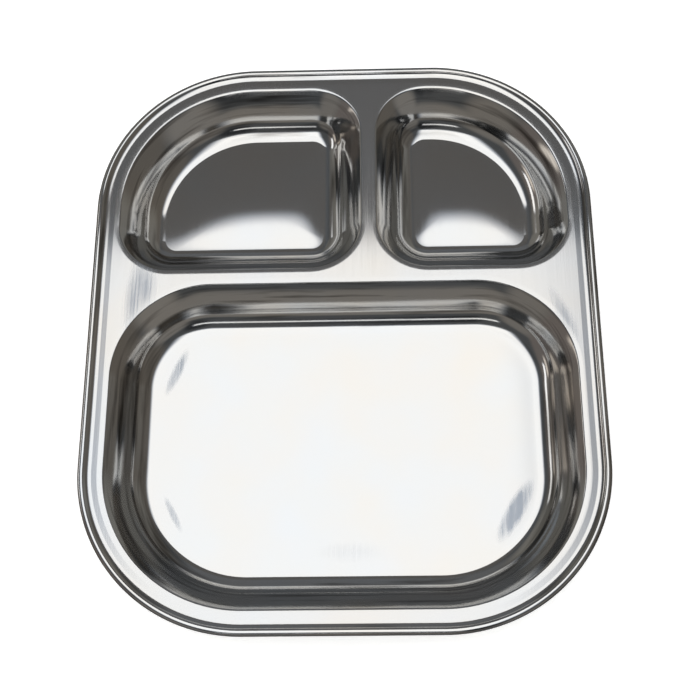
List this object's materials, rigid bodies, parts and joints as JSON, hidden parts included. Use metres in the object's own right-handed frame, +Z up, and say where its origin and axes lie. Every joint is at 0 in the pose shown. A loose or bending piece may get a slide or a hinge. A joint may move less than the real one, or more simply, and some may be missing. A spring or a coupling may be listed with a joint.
{
  "type": "divided compartment plate",
  "caption": "Pressed stainless steel plate with a large near compartment, unequal far compartments side by side, a flat deck between them and a rim curled round a stiffening wire.",
  "frame": {"origin": "on the table, under the middle of the plate's outline", "axes": "+X to the right, +Y to the far side with the two small compartments, +Z up out of the compartments"},
  "size_m": [0.2, 0.237, 0.0176],
  "materials": {
    "polished_sheet": "polished, with fine grain on the flat areas",
    "drawn_wire": "bright drawn"
  },
  "bodies": {
    "root": {"pressed_plate": "polished_sheet", "rim_wire": "drawn_wire"}
  },
  "joints": []
}
